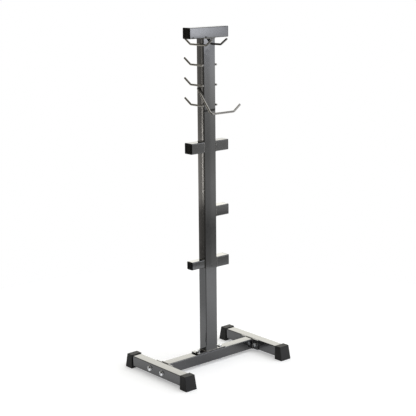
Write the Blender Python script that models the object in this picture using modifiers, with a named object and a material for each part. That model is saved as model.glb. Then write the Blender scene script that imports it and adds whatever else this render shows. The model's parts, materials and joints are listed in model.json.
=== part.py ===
"""Cable attachment rack: two feet joined by a centre beam, and one upright with a top bar, rod hooks and short arms.

X runs along the centre beam and the top bar, Y runs along the feet, and Z is up.
The origin is on the floor, under the middle of the upright. All sizes are in metres.
"""

import math

import bmesh
import bpy
from mathutils import Quaternion, Vector

# Fits: the gap between pieces that touch, and the play round a bolt
GAP = 0.0003
BOLT_PLAY = 0.0005

# Square tube of the feet, the centre beam, the top bar and the large arms
TUBE_SIZE = 0.050
TUBE_WALL = 0.0020
TUBE_INNER_CORNER = 0.0015

# Base
FOOT_SPACING = 0.595
FOOT_LENGTH = 0.4205
PLATE_THICKNESS = 0.006
PLATE_CORNER = 0.0015
END_PLATE_LENGTH = 0.121
END_BOLT_SPACING = 0.0885
MAST_PLATE_LENGTH = 0.173
MAST_BOLT_SPACING = 0.1345
FLOOR_CLEARANCE = 0.0017

# Rubber boots on the feet
BOOT_WALL = 0.0035
BOOT_END_WALL = 0.0045
BOOT_GRIP = 0.031
BOOT_SIDE_FLARE = 0.0025
BOOT_END_FLARE = 0.0125
BOOT_EDGE = 0.0015

# Bolts, washers and nuts
BOLT_DIAMETER = 0.012
BOLT_CHAMFER = 0.0012
HEAD_DIAMETER = 0.0235
HEAD_HEIGHT = 0.0078
HEAD_RIM = 0.0038
SOCKET_FLATS = 0.008
SOCKET_DEPTH = 0.004
WASHER_DIAMETER = 0.0255
WASHER_THICKNESS = 0.002
NUT_FLATS = 0.019
NUT_THICKNESS = 0.008
THREAD_PROUD = 0.001

# Upright
MAST_WIDTH = 0.070
MAST_DEPTH = 0.050
MAST_HEIGHT = 1.480
MAST_WALL = 0.0025
MAST_INNER_CORNER = 0.0015
VENT_DIAMETER = 0.009
VENT_EDGE = 0.002

# Top bar and arms. A drop is measured down from the top of the upright to the middle of the piece.
BAR_LENGTH = 0.2245
ARM_LENGTH = 0.0738
UPPER_ARM_DROP = 0.496
MIDDLE_ARM_DROP = 0.8045
LOWER_ARM_DROP = 1.0515
SMALL_ARM_DROP = 1.0485
SMALL_ARM_SIZE = 0.038
SMALL_ARM_WALL = 0.002
SMALL_ARM_INNER_CORNER = 0.0015

# Push-in plugs
PLUG_FLANGE = 0.0022
PLUG_EDGE = 0.0014
PLUG_INSERT = 0.016
PLUG_FIN_HEIGHT = 0.0022
PLUG_FIN_THICKNESS = 0.0012
PLUG_FINS = 2

# Rod hooks
ROD_DIAMETER = 0.010
ROD_BEND = 0.016
ROD_CHAMFER = 0.001
TOP_HOOK_DROP = 0.0290
HOOK_PITCH = 0.0918
SIDE_HOOK_LEVELS = 3
HOOK_LEAD = 0.0005
HOOK_REACH = 0.037
HOOK_TIP_LENGTH = 0.050
HOOK_TIP_ANGLE = math.radians(33)
TOP_HOOK_SPAN = 0.112
LEFT_TOP_HOOK_SHIFT = 0.006

# Front hook: one rod from the upright's left side, down across its front and out to the right
FRONT_HOOK_BEND = 0.014
FRONT_HOOK_START = 0.0125
FRONT_HOOK_START_DROP = 0.0133
FRONT_HOOK_REACH = 0.0546
FRONT_HOOK_RUN_DROP = 0.0317
FRONT_HOOK_RUN_END = 0.062
FRONT_HOOK_TIP_LENGTH = 0.049
FRONT_HOOK_TIP_ANGLE = math.radians(37)

# How finely curved surfaces are cut
CORNER_STEPS = 4
PLUG_CORNER_STEPS = 2
PLUG_EDGE_STEPS = 2
BOOT_EDGE_STEPS = 3
BEND_STEPS = 6
ROD_RESOLUTION = 6
TURNED_STEPS = 20
DOME_STEPS = 4
HOLE_STEPS = 24
SHARP_ANGLE = math.radians(35)
ROD_CAP_ANGLE = math.radians(60)
MERGE = 0.00001
CUT_THROUGH = 0.005

# Heights and places that follow from the sizes
BASE_BOTTOM = FLOOR_CLEARANCE + THREAD_PROUD + NUT_THICKNESS + GAP + WASHER_THICKNESS + GAP
BASE_MIDDLE = BASE_BOTTOM + TUBE_SIZE / 2
BASE_TOP = BASE_BOTTOM + TUBE_SIZE
MAST_PLATE_BOTTOM = BASE_TOP + GAP
MAST_PLATE_TOP = MAST_PLATE_BOTTOM + PLATE_THICKNESS
MAST_BOTTOM = MAST_PLATE_TOP + GAP
MAST_TOP = MAST_BOTTOM + MAST_HEIGHT
BAR_MIDDLE = MAST_TOP + GAP + TUBE_SIZE / 2
FOOT_X = FOOT_SPACING / 2
FOOT_INNER_X = FOOT_X - TUBE_SIZE / 2
END_PLATE_X = FOOT_INNER_X - GAP - PLATE_THICKNESS / 2
END_PLATE_INNER_X = END_PLATE_X - PLATE_THICKNESS / 2
BEAM_LENGTH = 2 * (END_PLATE_INNER_X - GAP)
HOLE_DIAMETER = BOLT_DIAMETER + 2 * BOLT_PLAY
ARM_START_X = MAST_WIDTH / 2 + GAP
ROD_X = MAST_WIDTH / 2 + GAP + ROD_DIAMETER / 2
TOP_HOOK_Z = MAST_TOP - TOP_HOOK_DROP

X, Y, Z = range(3)
SIDES = {"left": -1, "right": 1}
ENDS = {"front": -1, "rear": 1}


def clear_scene():
    for item in list(bpy.data.objects):
        bpy.data.objects.remove(item)


def new_collection(name):
    collection = bpy.data.collections.new(name)
    bpy.context.scene.collection.children.link(collection)
    return collection


def new_material(name, colour, metallic, roughness):
    material = bpy.data.materials.new(name)
    material.use_nodes = True
    shader = material.node_tree.nodes["Principled BSDF"]
    shader.inputs["Base Color"].default_value = (*colour, 1)
    shader.inputs["Metallic"].default_value = metallic
    shader.inputs["Roughness"].default_value = roughness
    material.diffuse_color = (*colour, 1)
    return material


def toward_x(side):
    """Rotation that turns a piece's own +Z to -X for the left side, or to +X for the right."""
    return (0, side * math.pi / 2, 0)


class Model:
    """The collections, the materials and the empty that carries every piece."""

    def __init__(self):
        self.parts = new_collection("cable_attachment_rack")
        self.cutters = new_collection("cutters")
        self.paint = new_material("frame_paint", (0.105, 0.105, 0.11), 0.7, 0.38)
        self.rod = new_material("rod_paint", (0.12, 0.118, 0.112), 0.75, 0.32)
        self.plastic = new_material("plug_plastic", (0.012, 0.012, 0.012), 0.0, 0.35)
        self.rubber = new_material("boot_rubber", (0.03, 0.03, 0.031), 0.0, 0.65)
        self.zinc = new_material("bolt_zinc", (0.66, 0.67, 0.68), 1.0, 0.25)
        self.root = bpy.data.objects.new("rack_origin", None)
        self.parts.objects.link(self.root)

    def add(self, name, data, material, location=(0, 0, 0), rotation=(0, 0, 0)):
        """A named piece at its place. Copies of a repeated piece may share their data."""
        piece = bpy.data.objects.new(name, data)
        piece.location = location
        piece.rotation_euler = rotation
        piece.parent = self.root
        self.parts.objects.link(piece)
        if not data.materials:
            data.materials.append(material)
        return piece

    def add_cutter(self, name, mesh, location, rotation=(0, 0, 0)):
        cutter = bpy.data.objects.new(name, mesh)
        cutter.location = location
        cutter.rotation_euler = rotation
        cutter.hide_render = True
        cutter.display_type = "WIRE"
        self.cutters.objects.link(cutter)
        return cutter


def cut(piece, cutter):
    boolean = piece.modifiers.new(cutter.name, "BOOLEAN")
    boolean.operation = "DIFFERENCE"
    boolean.solver = "EXACT"
    boolean.object = cutter


def drill(model, piece, name, centre, axis, diameter, depth):
    """A round hole along X, Y or Z, as a cutter of the given depth centred on the wall."""
    body = bmesh.new()
    bmesh.ops.create_cone(
        body, cap_ends=True, segments=HOLE_STEPS, radius1=diameter / 2, radius2=diameter / 2, depth=depth
    )
    turns = {X: (0, math.pi / 2, 0), Y: (math.pi / 2, 0, 0), Z: (0, 0, 0)}
    cut(piece, model.add_cutter(name, finish_mesh(body, name), centre, turns[axis]))


def finish_mesh(body, name):
    """The bmesh as a mesh, smooth except at its sharp edges."""
    bmesh.ops.recalc_face_normals(body, faces=body.faces)
    mesh = bpy.data.meshes.new(name)
    body.to_mesh(mesh)
    body.free()
    mesh.shade_smooth()
    mesh.set_sharp_from_angle(angle=SHARP_ANGLE)
    return mesh


def bar_body(size, axis, corner):
    """A box of the given size with the four edges along one axis rounded."""
    body = bmesh.new()
    bmesh.ops.create_cube(body, size=1)
    bmesh.ops.scale(body, vec=size, verts=body.verts)
    along = [edge for edge in body.edges if edge.verts[0].co[axis] * edge.verts[1].co[axis] < 0]
    bmesh.ops.bevel(
        body, geom=along, offset=corner, offset_type="OFFSET", segments=CORNER_STEPS, profile=0.5, affect="EDGES"
    )
    return body


def add_tube(model, name, size, axis, wall, inner_corner, centre):
    """An open-ended rectangular tube: four walls and rounded corners, thickened inward."""
    body = bar_body(size, axis, inner_corner + wall)
    ends = [face for face in body.faces if abs(face.normal[axis]) > 0.9]
    bmesh.ops.delete(body, geom=ends, context="FACES")
    tube = model.add(name, finish_mesh(body, name), model.paint, centre)
    shell = tube.modifiers.new("wall", "SOLIDIFY")
    shell.thickness = wall
    shell.offset = -1
    shell.use_even_offset = True
    return tube


def add_square_tube(model, name, length, axis, centre):
    size = [TUBE_SIZE] * 3
    size[axis] = length
    return add_tube(model, name, size, axis, TUBE_WALL, TUBE_INNER_CORNER, centre)


def add_feet(model):
    for side_name, side in SIDES.items():
        name = f"{side_name}_foot"
        foot = add_square_tube(model, name, FOOT_LENGTH, Y, (side * FOOT_X, 0, BASE_MIDDLE))
        for end_name, end in ENDS.items():
            centre = (side * FOOT_X, end * END_BOLT_SPACING / 2, BASE_MIDDLE)
            drill(model, foot, f"{name}_{end_name}_hole", centre, X, HOLE_DIAMETER, TUBE_SIZE + CUT_THROUGH)
            add_boot(model, f"{side_name}_{end_name}_boot", side * FOOT_X, end)


def boot_body(end):
    """A block that flares down to its sole at the sides and the outer end. Its mouth end stays upright."""
    half_top = TUBE_SIZE / 2 + GAP + BOOT_WALL
    half_sole = half_top + BOOT_SIDE_FLARE
    mouth = FOOT_LENGTH / 2 - BOOT_GRIP
    outer_top = FOOT_LENGTH / 2 + GAP + BOOT_END_WALL
    outer_sole = outer_top + BOOT_END_FLARE
    top = BASE_TOP + GAP + BOOT_WALL
    body = bmesh.new()
    bmesh.ops.create_cube(body, size=2)
    for vert in body.verts:
        is_top = vert.co.z > 0
        is_outer = vert.co.y * end > 0
        vert.co.x *= half_top if is_top else half_sole
        outer = outer_top if is_top else outer_sole
        vert.co.y = end * (outer if is_outer else mouth)
        vert.co.z = top if is_top else 0
    return body


def add_boot(model, name, x, end):
    boot = model.add(name, finish_mesh(boot_body(end), name), model.rubber, (x, 0, 0))
    edges = boot.modifiers.new("rounded_edges", "BEVEL")
    edges.width = BOOT_EDGE
    edges.segments = BOOT_EDGE_STEPS
    edges.limit_method = "ANGLE"
    pocket_size = TUBE_SIZE + 2 * GAP
    pocket_length = BOOT_GRIP + GAP + CUT_THROUGH
    pocket = bar_body((pocket_size, pocket_length, pocket_size), Y, TUBE_INNER_CORNER + TUBE_WALL)
    pocket_y = FOOT_LENGTH / 2 + GAP - pocket_length / 2
    pocket_name = f"{name}_pocket"
    pocket_mesh = finish_mesh(pocket, pocket_name)
    cut(boot, model.add_cutter(pocket_name, pocket_mesh, (x, end * pocket_y, BASE_MIDDLE)))


def add_beam(model):
    beam = add_square_tube(model, "centre_beam", BEAM_LENGTH, X, (0, 0, BASE_MIDDLE))
    for side_name, side in SIDES.items():
        centre = (side * MAST_BOLT_SPACING / 2, 0, BASE_MIDDLE)
        drill(model, beam, f"beam_{side_name}_hole", centre, Z, HOLE_DIAMETER, TUBE_SIZE + CUT_THROUGH)


def add_plate(model, name, size, axis, centre):
    """A flat plate whose edges across its thickness are rounded."""
    return model.add(name, finish_mesh(bar_body(size, axis, PLATE_CORNER), name), model.paint, centre)


def add_end_plates(model):
    for side_name, side in SIDES.items():
        name = f"{side_name}_end_plate"
        size = (PLATE_THICKNESS, END_PLATE_LENGTH, TUBE_SIZE)
        plate = add_plate(model, name, size, X, (side * END_PLATE_X, 0, BASE_MIDDLE))
        for end_name, end in ENDS.items():
            centre = (side * END_PLATE_X, end * END_BOLT_SPACING / 2, BASE_MIDDLE)
            drill(model, plate, f"{name}_{end_name}_hole", centre, X, HOLE_DIAMETER, PLATE_THICKNESS + CUT_THROUGH)


def add_mast_plate(model):
    middle = MAST_PLATE_BOTTOM + PLATE_THICKNESS / 2
    plate = add_plate(model, "mast_plate", (MAST_PLATE_LENGTH, TUBE_SIZE, PLATE_THICKNESS), Z, (0, 0, middle))
    for side_name, side in SIDES.items():
        centre = (side * MAST_BOLT_SPACING / 2, 0, middle)
        drill(model, plate, f"mast_plate_{side_name}_hole", centre, Z, HOLE_DIAMETER, PLATE_THICKNESS + CUT_THROUGH)


def add_mast(model):
    size = (MAST_WIDTH, MAST_DEPTH, MAST_HEIGHT)
    centre = (0, 0, MAST_BOTTOM + MAST_HEIGHT / 2)
    mast = add_tube(model, "mast", size, Z, MAST_WALL, MAST_INNER_CORNER, centre)
    vent_z = MAST_TOP - VENT_EDGE - VENT_DIAMETER / 2
    vent_centre = (0, (MAST_WALL - MAST_DEPTH) / 2, vent_z)
    drill(model, mast, "mast_vent_hole", vent_centre, Y, VENT_DIAMETER, MAST_WALL + CUT_THROUGH)


def rounded_square(half, radius):
    """Points round a square with rounded corners, counter-clockwise."""
    points = []
    for quarter in range(4):
        middle = math.pi / 4 + quarter * math.pi / 2
        centre = Vector((math.cos(middle), math.sin(middle))) * (half - radius) * math.sqrt(2)
        for step in range(PLUG_CORNER_STEPS + 1):
            angle = (quarter + step / PLUG_CORNER_STEPS) * math.pi / 2
            points.append(centre + Vector((math.cos(angle), math.sin(angle))) * radius)
    return points


def loft(sections):
    """A closed body through rounded squares, each given as (height, half width, corner radius)."""
    body = bmesh.new()
    rings = []
    for height, half, radius in sections:
        rings.append([body.verts.new((*point, height)) for point in rounded_square(half, radius)])
    for lower, upper in zip(rings, rings[1:]):
        for here in range(len(lower)):
            there = (here + 1) % len(lower)
            body.faces.new((lower[here], lower[there], upper[there], upper[here]))
    body.faces.new(rings[0])
    body.faces.new(rings[-1])
    return body


def plug_sections(size, wall, inner_corner):
    """From the rounded outer face, over the flange, down the finned insert to its inner end."""
    outer_corner = inner_corner + wall
    sections = []
    for step in range(PLUG_EDGE_STEPS + 1):
        angle = step / PLUG_EDGE_STEPS * math.pi / 2
        inset = PLUG_EDGE * (1 - math.sin(angle))
        height = GAP + PLUG_FLANGE - PLUG_EDGE * (1 - math.cos(angle))
        sections.append((height, size / 2 - inset, outer_corner - inset / 2))
    sections.append((GAP, size / 2, outer_corner))
    fin_half = size / 2 - wall - GAP
    core_half = fin_half - PLUG_FIN_HEIGHT
    sections.append((GAP, core_half, inner_corner))
    pitch = PLUG_INSERT / (PLUG_FINS + 1)
    for fin in range(1, PLUG_FINS + 1):
        upper = GAP - fin * pitch
        lower = upper - PLUG_FIN_THICKNESS
        sections.append((upper, core_half, inner_corner))
        sections.append((upper, fin_half, inner_corner))
        sections.append((lower, fin_half, inner_corner))
        sections.append((lower, core_half, inner_corner))
    sections.append((GAP - PLUG_INSERT, core_half, inner_corner))
    return sections


def add_bar_and_arms(model):
    """The top bar and the arms, each tube with a plug in its open end."""
    large = finish_mesh(loft(plug_sections(TUBE_SIZE, TUBE_WALL, TUBE_INNER_CORNER)), "square_plug")
    small_sections = plug_sections(SMALL_ARM_SIZE, SMALL_ARM_WALL, SMALL_ARM_INNER_CORNER)
    small = finish_mesh(loft(small_sections), "small_square_plug")
    add_square_tube(model, "top_bar", BAR_LENGTH, X, (0, 0, BAR_MIDDLE))
    for side_name, side in SIDES.items():
        place = (side * BAR_LENGTH / 2, 0, BAR_MIDDLE)
        model.add(f"top_bar_{side_name}_plug", large, model.plastic, place, toward_x(side))
    arms = (
        ("upper_left_arm", -1, UPPER_ARM_DROP),
        ("upper_right_arm", 1, UPPER_ARM_DROP),
        ("middle_right_arm", 1, MIDDLE_ARM_DROP),
        ("lower_right_arm", 1, LOWER_ARM_DROP),
    )
    for name, side, drop in arms:
        middle_x = side * (ARM_START_X + ARM_LENGTH / 2)
        add_square_tube(model, name, ARM_LENGTH, X, (middle_x, 0, MAST_TOP - drop))
        add_arm_plug(model, name, large, side, drop)
    size = (ARM_LENGTH, SMALL_ARM_SIZE, SMALL_ARM_SIZE)
    centre = (-ARM_START_X - ARM_LENGTH / 2, 0, MAST_TOP - SMALL_ARM_DROP)
    add_tube(model, "lower_left_arm", size, X, SMALL_ARM_WALL, SMALL_ARM_INNER_CORNER, centre)
    add_arm_plug(model, "lower_left_arm", small, -1, SMALL_ARM_DROP)


def add_arm_plug(model, arm_name, mesh, side, drop):
    place = (side * (ARM_START_X + ARM_LENGTH), 0, MAST_TOP - drop)
    model.add(f"{arm_name}_plug", mesh, model.plastic, place, toward_x(side))


def bend_points(before, corner, after, radius):
    """Points on the arc that rounds one corner of a rod's centre line."""
    back = (before - corner).normalized()
    ahead = (after - corner).normalized()
    turn = math.pi - back.angle(ahead)
    centre = corner + (back + ahead).normalized() * radius / math.cos(turn / 2)
    first = corner + back * radius * math.tan(turn / 2) - centre
    axis = ahead.cross(back)
    return [centre + Quaternion(axis, turn * step / BEND_STEPS) @ first for step in range(BEND_STEPS + 1)]


def rod_curve(name, corners, bend_radius):
    """A round rod along straight runs joined by bends."""
    points = [corners[0]]
    for before, corner, after in zip(corners, corners[1:], corners[2:]):
        points += bend_points(before, corner, after, bend_radius)
    points.append(corners[-1])
    curve = bpy.data.curves.new(name, "CURVE")
    curve.dimensions = "3D"
    curve.bevel_depth = ROD_DIAMETER / 2
    curve.bevel_resolution = ROD_RESOLUTION
    curve.use_fill_caps = True
    spline = curve.splines.new("POLY")
    spline.points.add(len(points) - 1)
    for target, point in zip(spline.points, points):
        target.co = (*point, 1)
    return curve


def add_rod(model, name, curve, location):
    rod = model.add(name, curve, model.rod, location)
    weld = rod.modifiers.new("joined_caps", "WELD")
    weld.merge_threshold = MERGE
    ends = rod.modifiers.new("chamfered_ends", "BEVEL")
    ends.width = ROD_CHAMFER
    ends.segments = 1
    ends.limit_method = "ANGLE"
    ends.angle_limit = ROD_CAP_ANGLE
    return rod


def tip_of(corner, direction, length, angle):
    """The end of a tip that rises from a corner, in the upright plane of the given direction."""
    return corner + direction * length * math.cos(angle) + Vector((0, 0, length * math.sin(angle)))


def add_hooks(model):
    """The top pair, turned up at both ends, and the pairs below it, turned up behind the upright."""
    back = Vector((0, 1, 0))
    rear_corner = Vector((0, TOP_HOOK_SPAN / 2, 0))
    front_corner = -rear_corner
    rear_tip = tip_of(rear_corner, back, HOOK_TIP_LENGTH, HOOK_TIP_ANGLE)
    front_tip = tip_of(front_corner, -back, HOOK_TIP_LENGTH, HOOK_TIP_ANGLE)
    double = rod_curve("double_hook", (front_tip, front_corner, rear_corner, rear_tip), ROD_BEND)
    lead = Vector((0, -MAST_DEPTH / 2 - HOOK_LEAD, 0))
    corner = Vector((0, MAST_DEPTH / 2 + HOOK_REACH, 0))
    tip = tip_of(corner, back, HOOK_TIP_LENGTH, HOOK_TIP_ANGLE)
    single = rod_curve("single_hook", (lead, corner, tip), ROD_BEND)
    shifts = {"left": LEFT_TOP_HOOK_SHIFT, "right": 0}
    for side_name, side in SIDES.items():
        add_rod(model, f"top_{side_name}_hook", double, (side * ROD_X, shifts[side_name], TOP_HOOK_Z))
        for level in range(1, SIDE_HOOK_LEVELS + 1):
            place = (side * ROD_X, 0, TOP_HOOK_Z - level * HOOK_PITCH)
            add_rod(model, f"side_{side_name}_hook_{level}", single, place)


def add_front_hook(model):
    """One rod: down the upright's left side towards the front, across to the right, and up at its tip."""
    second_hook_z = TOP_HOOK_Z - 2 * HOOK_PITCH
    third_hook_z = TOP_HOOK_Z - 3 * HOOK_PITCH
    start_y = MAST_DEPTH / 2 - FRONT_HOOK_START
    run_y = -MAST_DEPTH / 2 - FRONT_HOOK_REACH
    run_z = third_hook_z - FRONT_HOOK_RUN_DROP
    seat = Vector((-ROD_X, start_y, second_hook_z - FRONT_HOOK_START_DROP))
    run_start = Vector((-ROD_X, run_y, run_z)) - seat
    run_end = Vector((MAST_WIDTH / 2 + FRONT_HOOK_RUN_END, run_y, run_z)) - seat
    tip = tip_of(run_end, Vector((1, 0, 0)), FRONT_HOOK_TIP_LENGTH, FRONT_HOOK_TIP_ANGLE)
    curve = rod_curve("front_hook", (Vector(), run_start, run_end, tip), FRONT_HOOK_BEND)
    add_rod(model, "front_hook", curve, seat)


def turned_mesh(model, name, profile, socket=None):
    """A mesh turned about Z from a profile of (radius, height) pairs listed from top to bottom."""
    body = bmesh.new()
    verts = [body.verts.new((radius, 0, height)) for radius, height in profile]
    for upper, lower in zip(verts, verts[1:]):
        body.edges.new((upper, lower))
    mesh = bpy.data.meshes.new(name)
    body.to_mesh(mesh)
    body.free()
    template = bpy.data.objects.new(f"{name}_template", mesh)
    model.cutters.objects.link(template)
    screw = template.modifiers.new("turn", "SCREW")
    screw.steps = TURNED_STEPS
    screw.render_steps = TURNED_STEPS
    screw.use_merge_vertices = True
    screw.merge_threshold = MERGE
    if socket:
        cut(template, socket)
    return baked(template, name)


def baked(template, name):
    """The template's evaluated mesh, to be shared by its copies. The template goes."""
    graph = bpy.context.evaluated_depsgraph_get()
    mesh = bpy.data.meshes.new_from_object(template.evaluated_get(graph))
    mesh.name = name
    mesh.shade_smooth()
    mesh.set_sharp_from_angle(angle=SHARP_ANGLE)
    bpy.data.objects.remove(template)
    return mesh


def hexagon(name, flats, depth):
    body = bmesh.new()
    radius = flats / 2 / math.cos(math.pi / 6)
    bmesh.ops.create_cone(body, cap_ends=True, segments=6, radius1=radius, radius2=radius, depth=depth)
    return finish_mesh(body, name)


def bolt_mesh(model, name, length):
    """A button-head bolt: its head stands above z = 0 and its shank hangs below."""
    socket_mesh = hexagon(f"{name}_socket", SOCKET_FLATS, 2 * SOCKET_DEPTH)
    socket = model.add_cutter(f"{name}_socket", socket_mesh, (0, 0, HEAD_HEIGHT))
    rise = HEAD_HEIGHT - HEAD_RIM
    dome_radius = ((HEAD_DIAMETER / 2) ** 2 + rise**2) / (2 * rise)
    dome_centre = HEAD_HEIGHT - dome_radius
    half_angle = math.asin(HEAD_DIAMETER / 2 / dome_radius)
    profile = []
    for step in range(DOME_STEPS + 1):
        angle = half_angle * step / DOME_STEPS
        profile.append((dome_radius * math.sin(angle), dome_centre + dome_radius * math.cos(angle)))
    shank = BOLT_DIAMETER / 2
    profile.append((HEAD_DIAMETER / 2, 0))
    profile.append((shank, 0))
    profile.append((shank, BOLT_CHAMFER - length))
    profile.append((shank - BOLT_CHAMFER, -length))
    profile.append((0, -length))
    mesh = turned_mesh(model, name, profile, socket)
    bpy.data.objects.remove(socket)
    return mesh


def washer_mesh(model):
    """A flat ring that stands on z = 0."""
    inner = HOLE_DIAMETER / 2
    outer = WASHER_DIAMETER / 2
    ring = ((inner, WASHER_THICKNESS), (outer, WASHER_THICKNESS), (outer, 0), (inner, 0), (inner, WASHER_THICKNESS))
    return turned_mesh(model, "washer", ring)


def nut_mesh(model):
    """A hexagon nut centred on the origin. Its bore clears the bolt by the gap."""
    template = bpy.data.objects.new("nut_template", hexagon("nut_body", NUT_FLATS, NUT_THICKNESS))
    model.cutters.objects.link(template)
    bore = BOLT_DIAMETER + 2 * GAP
    drill(model, template, "nut_bore", (0, 0, 0), Z, bore, NUT_THICKNESS + CUT_THROUGH)
    mesh = baked(template, "nut")
    bpy.data.objects.remove(model.cutters.objects["nut_bore"])
    return mesh


def add_foot_bolts(model, washer, nut):
    """Through each foot and its end plate, with the head and the washer on the foot's outer side."""
    stack = GAP + WASHER_THICKNESS + GAP + TUBE_SIZE + GAP + PLATE_THICKNESS + GAP + NUT_THICKNESS
    bolt = bolt_mesh(model, "foot_bolt", stack + THREAD_PROUD)
    washer_x = FOOT_X + TUBE_SIZE / 2 + GAP
    head_x = washer_x + WASHER_THICKNESS + GAP
    nut_x = END_PLATE_INNER_X - GAP - NUT_THICKNESS / 2
    for side_name, side in SIDES.items():
        for end_name, end in ENDS.items():
            name = f"{side_name}_{end_name}_foot"
            y = end * END_BOLT_SPACING / 2
            model.add(f"{name}_bolt", bolt, model.zinc, (side * head_x, y, BASE_MIDDLE), toward_x(side))
            model.add(f"{name}_washer", washer, model.zinc, (side * washer_x, y, BASE_MIDDLE), toward_x(side))
            model.add(f"{name}_nut", nut, model.zinc, (side * nut_x, y, BASE_MIDDLE), toward_x(side))


def add_mast_bolts(model, washer, nut):
    """Down through the upright's plate and the centre beam, with the washer and the nut under the beam."""
    stack = GAP + PLATE_THICKNESS + GAP + TUBE_SIZE + GAP + WASHER_THICKNESS + GAP + NUT_THICKNESS
    bolt = bolt_mesh(model, "mast_bolt", stack + THREAD_PROUD)
    head_z = MAST_PLATE_TOP + GAP
    washer_z = BASE_BOTTOM - GAP - WASHER_THICKNESS
    nut_z = washer_z - GAP - NUT_THICKNESS / 2
    for side_name, side in SIDES.items():
        x = side * MAST_BOLT_SPACING / 2
        model.add(f"mast_{side_name}_bolt", bolt, model.zinc, (x, 0, head_z))
        model.add(f"mast_{side_name}_washer", washer, model.zinc, (x, 0, washer_z))
        model.add(f"mast_{side_name}_nut", nut, model.zinc, (x, 0, nut_z))


def build():
    clear_scene()
    model = Model()
    add_feet(model)
    add_beam(model)
    add_end_plates(model)
    add_mast_plate(model)
    add_mast(model)
    add_bar_and_arms(model)
    add_hooks(model)
    add_front_hook(model)
    washer = washer_mesh(model)
    nut = nut_mesh(model)
    add_foot_bolts(model, washer, nut)
    add_mast_bolts(model, washer, nut)


build()
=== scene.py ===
"""Looks for the cable attachment rack: materials, weld beads, moulded rims and a pale studio."""
import json
import math
import random

import bmesh
import bpy
from mathutils import Matrix, Vector


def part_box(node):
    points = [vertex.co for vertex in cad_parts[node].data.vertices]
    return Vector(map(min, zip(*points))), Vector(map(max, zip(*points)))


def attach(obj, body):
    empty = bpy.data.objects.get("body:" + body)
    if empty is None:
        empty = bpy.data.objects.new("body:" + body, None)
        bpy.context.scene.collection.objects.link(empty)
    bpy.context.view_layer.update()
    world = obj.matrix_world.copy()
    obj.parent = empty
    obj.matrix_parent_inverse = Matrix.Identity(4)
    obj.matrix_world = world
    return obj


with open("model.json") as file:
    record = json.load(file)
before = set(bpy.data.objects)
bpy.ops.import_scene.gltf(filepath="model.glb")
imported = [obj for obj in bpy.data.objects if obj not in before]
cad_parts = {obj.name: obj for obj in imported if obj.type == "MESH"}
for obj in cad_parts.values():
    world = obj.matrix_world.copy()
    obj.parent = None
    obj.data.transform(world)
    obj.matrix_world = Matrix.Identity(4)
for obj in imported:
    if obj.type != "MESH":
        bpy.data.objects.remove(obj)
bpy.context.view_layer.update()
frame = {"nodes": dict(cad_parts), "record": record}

nodes = frame["nodes"]

X_AXIS, Y_AXIS, Z_AXIS = Vector((1, 0, 0)), Vector((0, 1, 0)), Vector((0, 0, 1))
WHITE = (1, 1, 1, 1)

# Camera, fitted to the photograph of 416 by 416 pixels
CAMERA_PLACE = Vector((-3.3616, -3.9241, 1.9089))
CAMERA_AZIMUTH = math.radians(-40.62)
CAMERA_ELEVATION = math.radians(12.52)
CAMERA_ROLL = math.radians(-0.533)
FOCAL_PIXELS = 1132.5
PHOTO_PIXELS = 416
SENSOR_MM = 36.0

# Level directions: straight away from the camera, and to its right
AWAY = Vector((-math.sin(CAMERA_AZIMUTH), math.cos(CAMERA_AZIMUTH), 0))
RIGHT = Vector((math.cos(CAMERA_AZIMUTH), math.sin(CAMERA_AZIMUTH), 0))

# Floor and sun
FLOOR_RADIUS = 1.75
FLOOR_SIDES = 96
FLOOR_COLOUR = (0.79, 0.80, 0.825)
FLOOR_GLOW = 0.366
SUN_STRENGTH = 0.92
SUN_ANGLE = math.radians(50)
SUN_DIRECTION = Vector((0.30, -0.40, 1.0))

# A range (a, b, c, d) maps a to c and b to d, smoothly in between and level beyond.
# In the world, side is how far a direction points to the camera's right, behind is how far it
# points away from the camera, and height is how far it points up, each from -1 to 1.

# The floor as glossy rays see it. By metres to the east, its glow ends in the west, grows in the east and
# has a gap in the middle.
# A wedge of it towards the camera is painted dark for glossy rays only, a painted shade that shows
# only in reflections: by metres ahead, and by how closely a place's heading keeps to the camera's.
GLOW_WEST_END = (-0.45, -0.70, 0.5, 0)
GLOW_EAST_RISE = (0.25, 0.75, 0, 0.65)
GLOW_GAP = (0.0, 0.3, 0, 1)
# Painted shade: the floor's colour in that wedge, seen only in reflections
PAINTED_SHADE_FLOOR_COLOUR = (0.14, 0.14, 0.145)
NEAR_FLOOR_START = (0.22, 0.60, 0, 1)
NEAR_FLOOR_WEDGE = (0.80, 0.94, 0, 1)

# Brightness of the surroundings by height, on four sides of the object
RIGHT_PROFILE = (
    (-1.0, 0.60), (-0.30, 0.60), (-0.262, 0.54), (-0.25, 0.42), (-0.238, 0.29), (-0.228, 0.34),
    (-0.215, 0.74), (-0.19, 0.80), (-0.165, 0.61), (-0.15, 0.68), (-0.127, 0.92), (-0.105, 1.28),
    (-0.085, 1.38), (-0.076, 1.45), (-0.072, 1.75), (-0.055, 1.85), (0.05, 1.85), (0.30, 1.0),
    (0.60, 0.45), (1.0, 0.6),
)
LEFT_PROFILE = (
    (-1.0, 0.62), (-0.264, 0.60), (-0.257, 0.17), (-0.244, 0.35), (-0.23, 0.30), (-0.2145, 0.28),
    (-0.211, 0.92), (-0.204, 1.05), (-0.165, 0.92), (-0.15, 0.64), (-0.12, 0.53), (-0.10, 0.50),
    (-0.08, 0.47), (-0.03, 0.40), (0.05, 0.12), (0.30, 0.08), (0.60, 0.1), (1.0, 0.6),
)
BACK_PROFILE = (
    (-1.0, 0.8), (-0.30, 1.0), (0.0, 1.05), (0.12, 1.1), (0.16, 1.3), (0.20, 1.95),
    (0.255, 2.2), (0.30, 2.25), (0.345, 2.2), (0.45, 1.6), (0.60, 0.8), (1.0, 0.6),
)
FRONT_PROFILE = (
    (-1.0, 0.3), (-0.30, 0.2), (0.0, 0.15), (0.30, 0.2), (0.60, 0.45), (1.0, 0.6),
)

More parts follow.
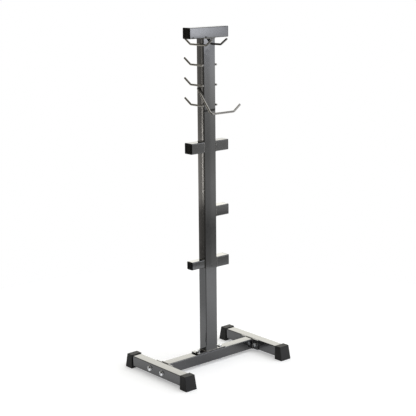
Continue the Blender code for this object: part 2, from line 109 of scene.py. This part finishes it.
# Where one side's profile passes into the next: by behind, then by side
FRONT_TO_BACK = (-0.2, 0.35, 0, 1)
ONTO_RIGHT = (0.55, 0.88, 0, 1)
ONTO_LEFT = (-0.55, -0.88, 0, 1)

# On the right, factors by behind: one for what the upright reflects, one for the bar above it,
# and the height at which they change over
ALONG_MAST = (-0.18, -0.11, 0.85, 1.25)
ALONG_BAR = (-0.175, -0.125, 2.25, 0.70)
MAST_TO_BAR = (-0.077, -0.073, 0, 1)

# On the left, factors by behind: a rise, fine upright streaks from noise, and the two ends of a
# dark zone
LEFT_RISE = (0.09, 0.25, 0.75, 1.25)
STREAK_SCALE = 45.0
STREAKS = (0.3, 0.7, 0.7, 1.15)
DARK_ZONE_BACK = (0.085, 0.108, 0.2, 1)
DARK_ZONE_FRONT = (-0.45, -0.60, 0, 0.9)

# A narrow bright strip on the left: its edges by behind, and its ends by height
STRIP_LIGHT = 4.2
STRIP_EDGES = ((0.112, 0.117, 0, 1), (0.132, 0.127, 0, 1))
STRIP_ENDS = ((-0.2115, -0.204, 0, 1), (-0.10, -0.15, 0.2, 1))

# A dim window behind on the left: its edges by side, its start by behind and its top by height
WINDOW_LIGHT = 0.8
WINDOW_EDGES = ((-0.50, -0.62, 0, 1), (-0.93, -0.88, 0, 1))
WINDOW_START = (0.25, 0.40, 0, 1)
WINDOW_TOP = (0.12, 0.0, 0, WINDOW_LIGHT)

# The white backdrop as glossy rays see it: its start by behind and its top by height
BACKDROP_START = (0.8, 0.95, 0, 1)
BACKDROP_TOP = (0.2, 0.1, 0, 1)

# Tints of the light, and where they change: on the right by height, and round the object by side
WARM_LIGHT = (1.0, 0.982, 0.90)
BROWN_LIGHT = (1.03, 0.975, 0.885)
NEUTRAL_LIGHT = (1.0, 0.995, 0.96)
COOL_LIGHT = (0.985, 1.0, 1.05)
NEUTRAL_TO_COOL = (-0.13, -0.06, 0, 1)
TINT_TO_RIGHT = (0.3, 0.8, 0, 1)

# A noise below is its scale, then its detail and its roughness where they aren't the usual ones.
# Tones are the darkest and the lightest colour of a surface. Reliefs are in metres.

# Paint
FRAME_TONES = ((0.090, 0.091, 0.094), (0.120, 0.121, 0.125))
# Rod tones: the frame's coat made lighter, a painted sheen for the light the rods catch
ROD_SHEEN_TONES = ((0.165, 0.159, 0.148), (0.225, 0.218, 0.203))
# Weld tones: lighter than the frame's coat, a painted glint on the beads; the warmer tint is the beads' own
WELD_AND_GLINT_TONES = ((0.10, 0.098, 0.09), (0.17, 0.165, 0.155))
FRAME_ROUGHNESS = 0.09
MAST_ROUGHNESS = 0.06
ROD_ROUGHNESS = 0.13
WELD_ROUGHNESS = 0.22
SMOOTHER, ROUGHER = 0.02, 0.03
PAINT_METALLIC = 0.92
FILM_WEIGHT = 0.6
FILM_ROUGHNESS = 0.03
FLAKE_SCALE = 1800.0
CLOUD_NOISE = (14.0, 3.0)
WEAR_NOISE = (60.0,)
WEAR_SPAN = (0.3, 0.7)
PEEL_NOISE = (420.0,)
PEEL_HEIGHT = 0.000008
RIPPLE_NOISE = (35.0,)
RIPPLE_HEIGHT = 0.00004

# The upright's share of the paint's relief, and the swell of its faces: how fast their slope
# grows away from the middle, per metre
MAST_RELIEF = 0.12
FACE_SWELL = 1.5

# Plastic of the plugs
PLASTIC_TONES = ((0.0015, 0.0015, 0.0015), (0.0035, 0.0035, 0.0035))
PLASTIC_SPECULAR = 0.1
PLASTIC_ROUGHNESS = (0.3, 0.7, 0.38, 0.5)
PLASTIC_GRAIN_NOISE = (900.0, 3.0)
PLASTIC_SCUFF_NOISE = (80.0,)
PLASTIC_RELIEF = 0.00002

# Rubber of the boots
RUBBER_TONES = ((0.002, 0.002, 0.002), (0.007, 0.007, 0.0068))
RUBBER_SPECULAR = 0.34
RUBBER_ROUGHNESS = (0.2, 0.8, 0.45, 0.62)
RUBBER_GRAIN_NOISE = (700.0, 4.0, 0.7)
RUBBER_DUST_NOISE = (25.0, 4.0)
RUBBER_RELIEF = 0.0001

# Zinc plate of the bolts, washers and nuts
ZINC_TONES = ((0.90, 0.92, 0.96), (0.96, 0.97, 0.99))
ZINC_ROUGHNESS = (0.3, 0.7, 0.08, 0.15)
ZINC_MOTTLE_NOISE = (160.0, 3.0)
ZINC_GRAIN_NOISE = (500.0,)
ZINC_RELIEF = 0.00001

# Smoothing and worn-round edges of the carried-over pieces
MERGE_DISTANCE = 0.00001
SMOOTH_ANGLE = math.radians(34)
ROUNDED_SLOTS = ("frame_paint", "bolt_zinc", "plug_plastic")
EDGE_ROUNDING = 0.0007
EDGE_SEGMENTS = 2
FLAT_FACE_WEIGHT = 100

# Round bars along paths: their sides, the corners of loops, the fewest steps along a path, and
# how steep counts as upright
BAR_SIDES = 8
LOOP_CORNER = 0.0040
CORNER_POINTS = 4
FEWEST_STEPS = 4
UPRIGHT = 0.9

# Weld beads. Those at flush faces are sunk by a little. Each ripple has its own size, and within
# it the bead swells and falls along part of a sine. Open beads taper at both ends.
BEAD_RADIUS = 0.0028
FLUSH_SINK = 0.0023
BEAD_SEED = 11
ARMS = ("upper_left_arm", "upper_right_arm", "middle_right_arm", "lower_left_arm", "lower_right_arm")
RIPPLE_LENGTH = 0.0030
RINGS_PER_RIPPLE = 4
RIPPLE_SIZES = (0.88, 1.1)
RIPPLE_LOW, RIPPLE_RISE = 0.88, 0.15
RIPPLE_START, RIPPLE_TURN = 0.25, 0.75
TAPER_START, TAPER_PER_RIPPLE = 0.35, 0.4

# Beads above and below each rod, at the upright's side. The front hook's rod runs down from its
# seat to its run, and its beads stop a little before the upright's front edge.
ROD_RADIUS = 0.005
ROD_BEAD_RADIUS = 0.0021
ROD_BEAD_RISE = 0.9 * ROD_RADIUS
ROD_BEAD_SPAN = (-0.022, 0.012)
FRONT_HOOK_SEAT = Vector((0, 0.0125, 1.3240))
FRONT_HOOK_RUN = Vector((0, -0.0796, 1.2138))
FRONT_BEAD_STOP = 0.004

# Rim moulded on the plugs' faces
PLUG_RIM_INSET = 0.0085
PLUG_RIM_RADIUS = 0.0009
PLUG_RIM_STEP = 0.002


def add_node(tree, kind, inputs=None, **settings):
    """A shader or geometry node with its settings, and its inputs set to values or linked to sockets."""
    node = tree.nodes.new(kind)
    for name, value in settings.items():
        setattr(node, name, value)
    for key, value in (inputs or {}).items():
        if isinstance(value, bpy.types.NodeSocket):
            tree.links.new(value, node.inputs[key])
        else:
            node.inputs[key].default_value = value
    return node


def math_node(tree, operation, *values):
    return add_node(tree, "ShaderNodeMath", dict(enumerate(values)), operation=operation).outputs[0]


def times(tree, *factors):
    """Product of two or more values."""
    product = factors[0]
    for factor in factors[1:]:
        product = math_node(tree, "MULTIPLY", product, factor)
    return product


def ramp(tree, value, limits):
    """A value mapped smoothly through a range."""
    inputs = dict(enumerate((value, *limits)))
    return add_node(tree, "ShaderNodeMapRange", inputs, interpolation_type="SMOOTHSTEP").outputs[0]


def ramps(tree, value, ranges):
    """Product of one value mapped through several ranges."""
    return times(tree, *(ramp(tree, value, limits) for limits in ranges))


def mix_values(tree, factor, low, high):
    return add_node(tree, "ShaderNodeMix", {0: factor, 2: low, 3: high}).outputs[0]


def mix_colours(tree, factor, dark, light):
    """A mix of two colours, each a socket or three numbers. The node's colour sockets come last."""
    ends = [end if isinstance(end, bpy.types.NodeSocket) else (*end, 1) for end in (dark, light)]
    inputs = {"Factor": factor, 6: ends[0], 7: ends[1]}
    return add_node(tree, "ShaderNodeMix", inputs, data_type="RGBA").outputs[2]


def noise(tree, place, scale, detail=2.0, roughness=0.5):
    inputs = {"Vector": place, "Scale": scale, "Detail": detail, "Roughness": roughness}
    return add_node(tree, "ShaderNodeTexNoise", inputs).outputs["Fac"]


def direction_part(tree, direction, axis):
    """How far a direction or a place lies along an axis."""
    node = add_node(tree, "ShaderNodeVectorMath", {0: direction, 1: axis}, operation="DOT_PRODUCT")
    return node.outputs["Value"]


def seen_part(tree, mirrored_part):
    """1 for camera rays, the given part for reflected and refracted rays, and 0 for the others."""
    path = add_node(tree, "ShaderNodeLightPath").outputs
    mirrored = math_node(tree, "MAXIMUM", path["Is Glossy Ray"], path["Is Transmission Ray"])
    return math_node(tree, "MAXIMUM", path["Is Camera Ray"], times(tree, mirrored, mirrored_part))


def new_object(name, body, material):
    """An object in the scene from a finished bmesh, which is then freed."""
    mesh = bpy.data.meshes.new(name)
    body.to_mesh(mesh)
    body.free()
    mesh.materials.append(material)
    item = bpy.data.objects.new(name, mesh)
    bpy.context.scene.collection.objects.link(item)
    return item


# Camera


def make_camera():
    azimuth, elevation = CAMERA_AZIMUTH, CAMERA_ELEVATION
    back = Vector((
        math.sin(azimuth) * math.cos(elevation),
        -math.cos(azimuth) * math.cos(elevation),
        math.sin(elevation),
    ))
    up = back.cross(RIGHT)
    rolled_right = RIGHT * math.cos(CAMERA_ROLL) + up * math.sin(CAMERA_ROLL)
    rolled_up = back.cross(rolled_right)
    data = bpy.data.cameras.new("camera")
    data.sensor_width = SENSOR_MM
    data.lens = FOCAL_PIXELS / PHOTO_PIXELS * SENSOR_MM
    camera = bpy.data.objects.new("camera", data)
    axes = Matrix((rolled_right, rolled_up, back)).transposed().to_4x4()
    camera.matrix_world = Matrix.Translation(CAMERA_PLACE) @ axes
    bpy.context.scene.collection.objects.link(camera)
    bpy.context.scene.camera = camera


# Studio


def profile_curve(tree, height, profile):
    """Brightness by height from a profile, on a curve that holds both from 0 to 1."""
    top = max(value for _, value in profile)
    along = math_node(tree, "MULTIPLY_ADD", height, 0.5, 0.5)
    node = add_node(tree, "ShaderNodeFloatCurve", {"Value": along})
    curve = node.mapping.curves[0]
    places = [(level / 2 + 0.5, value / top) for level, value in profile]
    for place in places[1:-1]:
        curve.points.new(*place)
    curve.points[0].location = places[0]
    curve.points[-1].location = places[-1]
    for point in curve.points:
        point.handle_type = "VECTOR"
    node.mapping.update()
    return times(tree, node.outputs[0], top)


def light_on_right(tree, height, behind):
    on_mast, on_bar = ramp(tree, behind, ALONG_MAST), ramp(tree, behind, ALONG_BAR)
    along = mix_values(tree, ramp(tree, height, MAST_TO_BAR), on_mast, on_bar)
    return times(tree, profile_curve(tree, height, RIGHT_PROFILE), along)


def light_on_left(tree, height, behind):
    profile = profile_curve(tree, height, LEFT_PROFILE)
    across = add_node(tree, "ShaderNodeCombineXYZ", {0: behind}).outputs[0]
    streaks = ramp(tree, noise(tree, across, STREAK_SCALE), STREAKS)
    rise = ramp(tree, behind, LEFT_RISE)
    dark_zone = (ramp(tree, behind, DARK_ZONE_BACK), ramp(tree, behind, DARK_ZONE_FRONT))
    light = times(tree, profile, streaks, rise, math_node(tree, "MAXIMUM", *dark_zone))
    strip = times(tree, ramps(tree, behind, STRIP_EDGES), ramps(tree, height, STRIP_ENDS), STRIP_LIGHT)
    return math_node(tree, "ADD", light, strip)


def make_world():
    """A soft studio whose brightness changes round the object, with a plain white background."""
    world = bpy.data.worlds.new("studio")
    bpy.context.scene.world = world
    world.use_nodes = True
    tree = world.node_tree
    tree.nodes.clear()
    direction = add_node(tree, "ShaderNodeTexCoord").outputs["Generated"]
    height = direction_part(tree, direction, Z_AXIS)
    behind = direction_part(tree, direction, AWAY)
    side = direction_part(tree, direction, RIGHT)

    in_front = profile_curve(tree, height, FRONT_PROFILE)
    at_back = profile_curve(tree, height, BACK_PROFILE)
    light = mix_values(tree, ramp(tree, behind, FRONT_TO_BACK), in_front, at_back)
    light = mix_values(tree, ramp(tree, side, ONTO_RIGHT), light, light_on_right(tree, height, behind))
    light = mix_values(tree, ramp(tree, side, ONTO_LEFT), light, light_on_left(tree, height, behind))
    window_start, window_top = ramp(tree, behind, WINDOW_START), ramp(tree, height, WINDOW_TOP)
    window = times(tree, ramps(tree, side, WINDOW_EDGES), window_start, window_top)
    light = math_node(tree, "ADD", light, window)

    right_tint = mix_colours(tree, ramp(tree, height, NEUTRAL_TO_COOL), NEUTRAL_LIGHT, COOL_LIGHT)
    left_tint = mix_colours(tree, ramp(tree, side, ONTO_LEFT), WARM_LIGHT, BROWN_LIGHT)
    tint = mix_colours(tree, ramp(tree, side, TINT_TO_RIGHT), left_tint, right_tint)

    studio = add_node(tree, "ShaderNodeBackground", {"Color": tint, "Strength": light})
    white = add_node(tree, "ShaderNodeBackground", {"Color": WHITE})
    backdrop = times(tree, ramp(tree, behind, BACKDROP_START), ramp(tree, height, BACKDROP_TOP))
    inputs = {0: seen_part(tree, backdrop), 1: studio.outputs[0], 2: white.outputs[0]}
    mix = add_node(tree, "ShaderNodeMixShader", inputs)
    add_node(tree, "ShaderNodeOutputWorld", {"Surface": mix.outputs[0]})


def floor_material():
    """Pale, with a glow that lifts it to white for the camera and, in parts, for glossy rays. For glossy
    rays a wedge towards the camera is painted dark, a painted shade in reflections.
    """
    material = bpy.data.materials.new("studio_floor")
    material.use_nodes = True
    tree = material.node_tree
    tree.nodes.clear()
    place = add_node(tree, "ShaderNodeTexCoord").outputs["Object"]
    ahead = direction_part(tree, place, -AWAY)
    heading = add_node(tree, "ShaderNodeVectorMath", {0: place}, operation="NORMALIZE").outputs[0]
    wedge = ramp(tree, direction_part(tree, heading, -AWAY), NEAR_FLOOR_WEDGE)
    glossy = add_node(tree, "ShaderNodeLightPath").outputs["Is Glossy Ray"]
    # Painted shade: glossy rays see the floor dark in a wedge towards the camera
    painted_shade = times(tree, ramp(tree, ahead, NEAR_FLOOR_START), wedge, glossy)
    colour = mix_colours(tree, painted_shade, FLOOR_COLOUR, PAINTED_SHADE_FLOOR_COLOUR)
    diffuse = add_node(tree, "ShaderNodeBsdfDiffuse", {"Color": colour})

    east = add_node(tree, "ShaderNodeSeparateXYZ", {0: place}).outputs[0]
    spread = math_node(tree, "ADD", ramp(tree, east, GLOW_EAST_RISE), ramp(tree, east, GLOW_WEST_END))
    spread = times(tree, spread, ramp(tree, math_node(tree, "ABSOLUTE", east), GLOW_GAP))
    strength = times(tree, seen_part(tree, spread), FLOOR_GLOW)
    glow = add_node(tree, "ShaderNodeEmission", {"Color": WHITE, "Strength": strength})
    both = add_node(tree, "ShaderNodeAddShader", {0: diffuse.outputs[0], 1: glow.outputs[0]})
    add_node(tree, "ShaderNodeOutputMaterial", {"Surface": both.outputs[0]})
    return material


def make_floor():
    body = bmesh.new()
    bmesh.ops.create_circle(body, cap_ends=True, segments=FLOOR_SIDES, radius=FLOOR_RADIUS)
    floor = new_object("studio_floor", body, floor_material())


def make_sun():
    data = bpy.data.lights.new("window", "SUN")
    data.energy = SUN_STRENGTH
    data.angle = SUN_ANGLE
    sun = bpy.data.objects.new("window", data)
    sun.rotation_euler = SUN_DIRECTION.to_track_quat("Z", "Y").to_euler()
    bpy.context.scene.collection.objects.link(sun)


# Materials


def new_material(name):
    material = bpy.data.materials.new(name)
    material.use_nodes = True
    tree = material.node_tree
    place = add_node(tree, "ShaderNodeTexCoord").outputs["Object"]
    return material, tree, tree.nodes["Principled BSDF"], place


def finish_surface(tree, shader, shade, tones, wear, roughness, height, relief):
    """Colour between two tones by one pattern, roughness by another, and bump by a third."""
    bump = add_node(tree, "ShaderNodeBump", {"Height": height, "Distance": relief})
    tree.links.new(mix_colours(tree, shade, *tones), shader.inputs["Base Color"])
    tree.links.new(ramp(tree, wear, roughness), shader.inputs["Roughness"])
    tree.links.new(bump.outputs["Normal"], shader.inputs["Normal"])


def paint_material(name, tones, roughness, relief_part=1.0, swell=0.0):
    """Metallic powder coat under a clear film: fine flake, a slight orange peel, and a faint cloudiness.
    With swell, faces square to x and y bulge slightly about the vertical axis, as rolled tube does."""
    material, tree, shader, place = new_material(name)
    shader.inputs["Metallic"].default_value = PAINT_METALLIC
    shader.inputs["Coat Weight"].default_value = FILM_WEIGHT
    shader.inputs["Coat Roughness"].default_value = FILM_ROUGHNESS
    flake = add_node(tree, "ShaderNodeTexVoronoi", {"Vector": place, "Scale": FLAKE_SCALE}).outputs["Color"]
    flake = add_node(tree, "ShaderNodeSeparateColor", {0: flake}).outputs[0]
    cloud = noise(tree, place, *CLOUD_NOISE)
    half_of_each = times(tree, math_node(tree, "ADD", flake, cloud), 0.5)
    peel = times(tree, noise(tree, place, *PEEL_NOISE), PEEL_HEIGHT)
    ripple = times(tree, noise(tree, place, *RIPPLE_NOISE), RIPPLE_HEIGHT)
    height = times(tree, math_node(tree, "ADD", peel, ripple), relief_part)
    if swell:
        x, y, _ = add_node(tree, "ShaderNodeSeparateXYZ", {0: place}).outputs
        for part in (x, y):
            height = math_node(tree, "MULTIPLY_ADD", times(tree, part, part), -swell / 2, height)
    wear = noise(tree, place, *WEAR_NOISE)
    limits = (*WEAR_SPAN, roughness - SMOOTHER, roughness + ROUGHER)
    finish_surface(tree, shader, half_of_each, tones, wear, limits, height, 1.0)
    return material


def plastic_material():
    material, tree, shader, place = new_material("plug_plastic")
    shader.inputs["Specular IOR Level"].default_value = PLASTIC_SPECULAR
    grain = noise(tree, place, *PLASTIC_GRAIN_NOISE)
    scuff = noise(tree, place, *PLASTIC_SCUFF_NOISE)
    finish_surface(tree, shader, grain, PLASTIC_TONES, scuff, PLASTIC_ROUGHNESS, grain, PLASTIC_RELIEF)
    return material


def rubber_material():
    material, tree, shader, place = new_material("boot_rubber")
    shader.inputs["Specular IOR Level"].default_value = RUBBER_SPECULAR
    grain = noise(tree, place, *RUBBER_GRAIN_NOISE)
    dust = noise(tree, place, *RUBBER_DUST_NOISE)
    finish_surface(tree, shader, dust, RUBBER_TONES, grain, RUBBER_ROUGHNESS, grain, RUBBER_RELIEF)
    return material


def zinc_material():
    material, tree, shader, place = new_material("bolt_zinc")
    shader.inputs["Metallic"].default_value = 1.0
    mottle = noise(tree, place, *ZINC_MOTTLE_NOISE)
    grain = noise(tree, place, *ZINC_GRAIN_NOISE)
    finish_surface(tree, shader, mottle, ZINC_TONES, mottle, ZINC_ROUGHNESS, grain, ZINC_RELIEF)
    return material


# Shading of the carried-over pieces


def smoothing_group():
    """Joins the split corners of a carried-over mesh and shades it smooth except at its sharp edges."""
    group = bpy.data.node_groups.new("smooth_except_edges", "GeometryNodeTree")
    group.interface.new_socket("Geometry", in_out="INPUT", socket_type="NodeSocketGeometry")
    group.interface.new_socket("Geometry", in_out="OUTPUT", socket_type="NodeSocketGeometry")
    entry = add_node(group, "NodeGroupInput").outputs[0]
    plain = add_node(group, "GeometryNodeRemoveAttribute", {"Geometry": entry, "Name": "custom_normal"})
    inputs = {"Geometry": plain.outputs[0], "Distance": MERGE_DISTANCE}
    joined = add_node(group, "GeometryNodeMergeByDistance", inputs)
    inputs = {"Geometry": joined.outputs[0], "Shade Smooth": True}
    smooth = add_node(group, "GeometryNodeSetShadeSmooth", inputs)
    angle = add_node(group, "GeometryNodeInputMeshEdgeAngle").outputs["Unsigned Angle"]
    sharp = add_node(group, "FunctionNodeCompare", {0: angle, 1: SMOOTH_ANGLE}, operation="GREATER_THAN")
    inputs = {"Geometry": smooth.outputs[0], "Selection": sharp.outputs[0], "Shade Smooth": False}
    edges = add_node(group, "GeometryNodeSetShadeSmooth", inputs, domain="EDGE")
    add_node(group, "NodeGroupOutput", {0: edges.outputs[0]})
    return group


def dress_nodes(materials):
    """Gives each carried-over piece its material and smooth shading, and rounds the edges of hard ones."""
    group = smoothing_group()
    slots = {part["node"]: part["material_slot"] for part in frame["record"]["subparts"]}
    for name, item in nodes.items():
        item.data.materials.clear()
        item.data.materials.append(materials["mast" if name == "mast" else slots[name]])
        item.modifiers.new("smooth_except_edges", "NODES").node_group = group
        if slots[name] in ROUNDED_SLOTS:
            rounding = item.modifiers.new("rounded_edges", "BEVEL")
            rounding.width = EDGE_ROUNDING
            rounding.segments = EDGE_SEGMENTS
            rounding.limit_method = "ANGLE"
            rounding.angle_limit = SMOOTH_ANGLE
        flat = item.modifiers.new("flat_faces", "WEIGHTED_NORMAL")
        flat.keep_sharp = True
        flat.weight = FLAT_FACE_WEIGHT


# Paths and round bars along them


def corners_of(box):
    low, high = (Vector(corner) for corner in box)
    return low, high


def rounded_loop(centre, across, up, half_across, half_up):
    """Points round a rectangle with rounded corners, in the plane of two unit directions."""
    points = []
    for quarter, (sign_across, sign_up) in enumerate(((1, 1), (-1, 1), (-1, -1), (1, -1))):
        middle_across = sign_across * (half_across - LOOP_CORNER)
        middle_up = sign_up * (half_up - LOOP_CORNER)
        for step in range(CORNER_POINTS + 1):
            angle = (quarter + step / CORNER_POINTS) * math.pi / 2
            along = middle_across + LOOP_CORNER * math.cos(angle)
            above = middle_up + LOOP_CORNER * math.sin(angle)
            points.append(centre + across * along + up * above)
    return points


def side_loop(low, high, x, inset_y=0.0, inset_z=0.0):
    """A loop round a box's outline as seen along x, drawn in by the insets."""
    middle = (low + high) / 2
    half_y, half_z = high.y - middle.y - inset_y, high.z - middle.z - inset_z
    return rounded_loop(Vector((x, middle.y, middle.z)), Y_AXIS, Z_AXIS, half_y, half_z)


def evenly(points, closed, spacing):
    """Points a given distance apart along a path, with the direction of the path at each."""
    corners = points + points[:1] if closed else points
    lengths = [(b - a).length for a, b in zip(corners, corners[1:])]
    total = sum(lengths)
    count = max(FEWEST_STEPS, round(total / spacing))
    places = []
    leg, before = 0, 0.0
    for step in range(count if closed else count + 1):
        target = total * step / count
        while leg < len(lengths) - 1 and before + lengths[leg] < target:
            before += lengths[leg]
            leg += 1
        a, b = corners[leg], corners[leg + 1]
        places.append((a.lerp(b, (target - before) / lengths[leg]), (b - a).normalized()))
    return places


def sweep(name, places, sizes, closed, material):
    """A round bar along a path, of a size that may change along it."""
    body = bmesh.new()
    rings = []
    for (place, along), size in zip(places, sizes):
        if abs(along.z) < UPRIGHT:
            side = along.cross(Z_AXIS).normalized()
        else:
            side = along.orthogonal().normalized()
        other = along.cross(side)
        ring = []
        for corner in range(BAR_SIDES):
            angle = 2 * math.pi * corner / BAR_SIDES
            ring.append(body.verts.new(place + (side * math.cos(angle) + other * math.sin(angle)) * size))
        rings.append(ring)
    for here, there in zip(rings, rings[1:] + rings[:1] if closed else rings[1:]):
        for corner in range(BAR_SIDES):
            following = (corner + 1) % BAR_SIDES
            body.faces.new((here[corner], here[following], there[following], there[corner]))
    if not closed:
        body.faces.new(rings[0])
        body.faces.new(rings[-1])
    bmesh.ops.recalc_face_normals(body, faces=body.faces)
    piece = new_object(name, body, material)
    piece.data.shade_smooth()
    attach(piece, "root")


# Weld beads and moulded rims


def weld_bead(name, points, radius, closed, material, chance):
    """A rippled bead of weld metal along a path."""
    places = evenly(points, closed, RIPPLE_LENGTH / RINGS_PER_RIPPLE)
    sizes = []
    for index in range(len(places)):
        if index % RINGS_PER_RIPPLE == 0:
            ripple_size = chance.uniform(*RIPPLE_SIZES)
        phase = index % RINGS_PER_RIPPLE / RINGS_PER_RIPPLE
        rise = math.sin(math.pi * (RIPPLE_START + RIPPLE_TURN * phase))
        size = radius * ripple_size * (RIPPLE_LOW + RIPPLE_RISE * rise)
        if not closed:
            to_end = min(index, len(places) - 1 - index) / RINGS_PER_RIPPLE
            size *= min(1.0, TAPER_START + TAPER_PER_RIPPLE * to_end)
        sizes.append(size)
    sweep(name, places, sizes, closed, material)


def make_tube_welds(material, chance):
    """Beads round the ends of the upright, of the arms and of the centre beam."""
    low, high = corners_of(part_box("mast"))
    for name, z in (("weld_mast_top", high.z), ("weld_mast_foot", low.z)):
        loop = rounded_loop(Vector((0, 0, z)), X_AXIS, Y_AXIS, high.x, high.y)
        weld_bead(name, loop, BEAD_RADIUS, True, material, chance)
    for arm in ARMS:
        low, high = corners_of(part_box(arm))
        x = low.x if low.x + high.x > 0 else high.x
        weld_bead(f"weld_{arm}", side_loop(low, high, x, FLUSH_SINK), BEAD_RADIUS, True, material, chance)
    low, high = corners_of(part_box("centre_beam"))
    for side_name, x in (("left", low.x), ("right", high.x)):
        weld_bead(f"weld_beam_{side_name}", side_loop(low, high, x), BEAD_RADIUS, True, material, chance)


def make_rod_welds(material, chance):
    """Two beads along each rod, where it lies against the upright's side."""
    for side_name, side in (("left", -1), ("right", 1)):
        for hook in (f"top_{side_name}_hook", *(f"side_{side_name}_hook_{level}" for level in (1, 2, 3))):
            low, _ = corners_of(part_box(hook))
            face_x = low.x + ROD_RADIUS - side * (ROD_RADIUS - ROD_BEAD_RADIUS / 2)
            for part, sign in (("upper", 1), ("lower", -1)):
                z = low.z + ROD_RADIUS + sign * ROD_BEAD_RISE
                ends = [Vector((face_x, y, z)) for y in ROD_BEAD_SPAN]
                weld_bead(f"weld_{hook}_{part}", ends, ROD_BEAD_RADIUS, False, material, chance)

    along = (FRONT_HOOK_RUN - FRONT_HOOK_SEAT).normalized()
    across = along.cross(X_AXIS)
    low, _ = corners_of(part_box("front_hook"))
    face = Vector((low.x + 2 * ROD_RADIUS - ROD_BEAD_RADIUS / 2, 0, 0))
    length = (FRONT_HOOK_SEAT.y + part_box("mast")[1][1] - FRONT_BEAD_STOP) / -along.y
    for part, sign in (("upper", 1), ("lower", -1)):
        start = face + FRONT_HOOK_SEAT + across * sign * ROD_BEAD_RISE
        ends = [start, start + along * length]
        weld_bead(f"weld_front_hook_{part}", ends, ROD_BEAD_RADIUS, False, material, chance)


def make_plug_rims(material):
    """A low moulded rim round the middle of each plug's face."""
    for plug in (name for name in nodes if name.endswith("_plug")):
        low, high = corners_of(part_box(plug))
        x = high.x if low.x + high.x > 0 else low.x
        loop = side_loop(low, high, x, PLUG_RIM_INSET, PLUG_RIM_INSET)
        places = evenly(loop, True, PLUG_RIM_STEP)
        sweep(f"{plug}_rim", places, [PLUG_RIM_RADIUS] * len(places), True, material)


make_camera()
make_world()
make_floor()
make_sun()

scene_materials = {
    "frame_paint": paint_material("frame_powder_coat", FRAME_TONES, FRAME_ROUGHNESS),
    "mast": paint_material("mast_powder_coat", FRAME_TONES, MAST_ROUGHNESS, MAST_RELIEF, FACE_SWELL),
    # The rods' coat is lighter than the frame's: a painted sheen
    "rod_paint": paint_material("rod_coat_and_painted_sheen", ROD_SHEEN_TONES, ROD_ROUGHNESS),
    # The welds' coat is lighter than the frame's: a painted glint
    "weld": paint_material("weld_coat_and_painted_glint", WELD_AND_GLINT_TONES, WELD_ROUGHNESS),
    "plug_plastic": plastic_material(),
    "boot_rubber": rubber_material(),
    "bolt_zinc": zinc_material(),
}
dress_nodes(scene_materials)
weld_chance = random.Random(BEAD_SEED)
make_tube_welds(scene_materials["weld"], weld_chance)
make_rod_welds(scene_materials["weld"], weld_chance)
make_plug_rims(scene_materials["plug_plastic"])

scene = bpy.context.scene
scene.view_settings.view_transform = "Standard"
